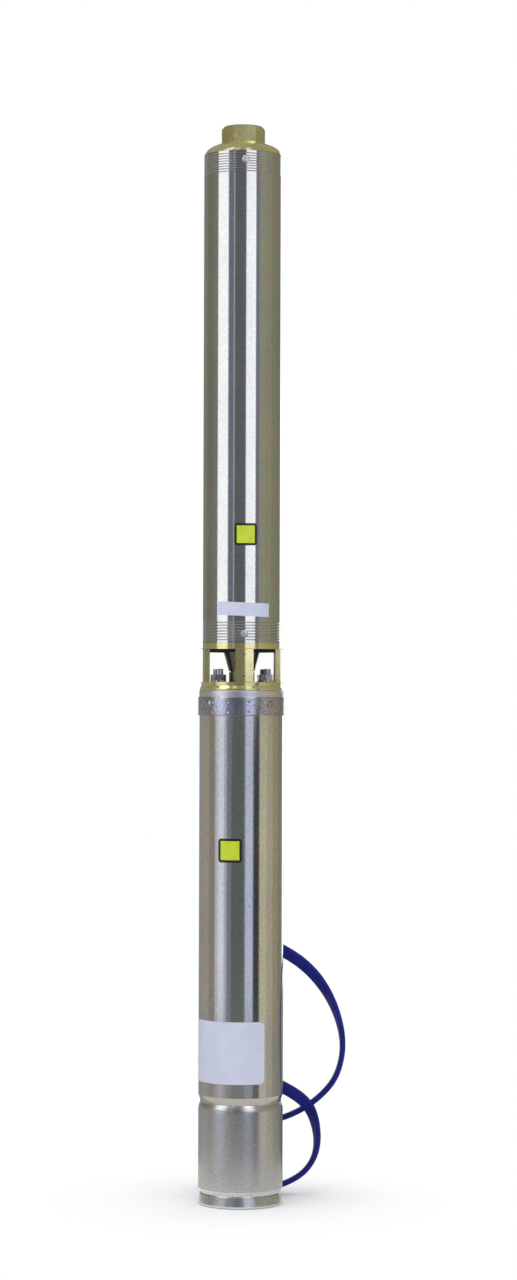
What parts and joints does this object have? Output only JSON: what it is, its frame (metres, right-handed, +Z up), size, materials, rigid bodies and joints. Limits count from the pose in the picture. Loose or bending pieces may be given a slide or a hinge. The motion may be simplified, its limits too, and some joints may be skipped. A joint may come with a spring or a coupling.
{
  "type": "borehole submersible pump",
  "caption": "Slim borehole submersible pump: tubular multistage pump end with domed brass outlet head and open intake bracket, bolted on a canned motor with a flat lead.",
  "frame": {"origin": "centre of the motor's foot, on the surface that the pump stands on", "axes": "+Z up along the shaft towards the outlet; -Y is the side with the intake column that faces the viewer"},
  "size_m": [0.176, 0.2389, 1.224],
  "materials": {
    "brass": "cast and turned, satin",
    "stainless": "turned",
    "polymer": "moulded",
    "polymer_light": "moulded",
    "polished_tube": "polished stainless tube",
    "satin_can": "satin stainless can",
    "fastener": "bright",
    "rubber": "moulded",
    "coupling_steel": "turned",
    "lamination": "stacked sheet steel",
    "aluminium": "cast",
    "copper_wire": "enamelled copper",
    "machined_steel": "machined",
    "band_steel": "rolled strip",
    "carbon": "ground carbon",
    "casting": "cast",
    "blue_sheath": "extruded sheath"
  },
  "bodies": {
    "root": {"discharge_head": "brass", "valve_seat": "stainless", "valve_guide": "polymer", "pump_shell": "polished_tube", "shell_screws": "fastener", "intake_bracket": "brass", "motor_studs": "fastener", "stud_nuts": "fastener", "lower_bush": "rubber", "suction_plate": "stainless", "stage_bowls": "polymer", "bearing_carrier": "brass", "upper_bush": "rubber", "stator_core": "lamination", "stator_winding": "copper_wire", "motor_shell": "satin_can", "upper_end_bell": "machined_steel", "retaining_band": "band_steel", "band_screws": "fastener", "upper_motor_bearing": "carbon", "shaft_seal": "carbon", "thrust_housing": "casting", "lower_motor_bearing": "carbon", "thrust_pads": "stainless", "pad_carrier": "casting", "thrust_plug": "casting", "diaphragm": "rubber", "bottom_cap": "casting", "cable_gland": "rubber", "motor_lead": "blue_sheath", "lead_cores": "copper_wire"},
    "shaft_line": {"pump_shaft": "stainless", "journal_sleeves": "stainless", "shaft_screw": "fastener", "impellers": "polymer_light", "shaft_coupling": "coupling_steel", "motor_shaft": "stainless", "rotor_core": "lamination", "rotor_end_rings": "aluminium", "seal_head": "stainless", "sand_slinger": "rubber", "thrust_runner": "stainless"},
    "check_valve": {"check_valve": "polymer"}
  },
  "joints": [
    {"name": "shaft_spin", "type": "hinge", "parent": "root", "child": "shaft_line", "pos_m": [0, 0, 0.3], "axis": [0, 0, 1], "continuous": true},
    {"name": "valve_lift", "type": "slide", "parent": "root", "child": "check_valve", "axis": [0, 0, 1], "range_m": [0, 0.01]}
  ]
}
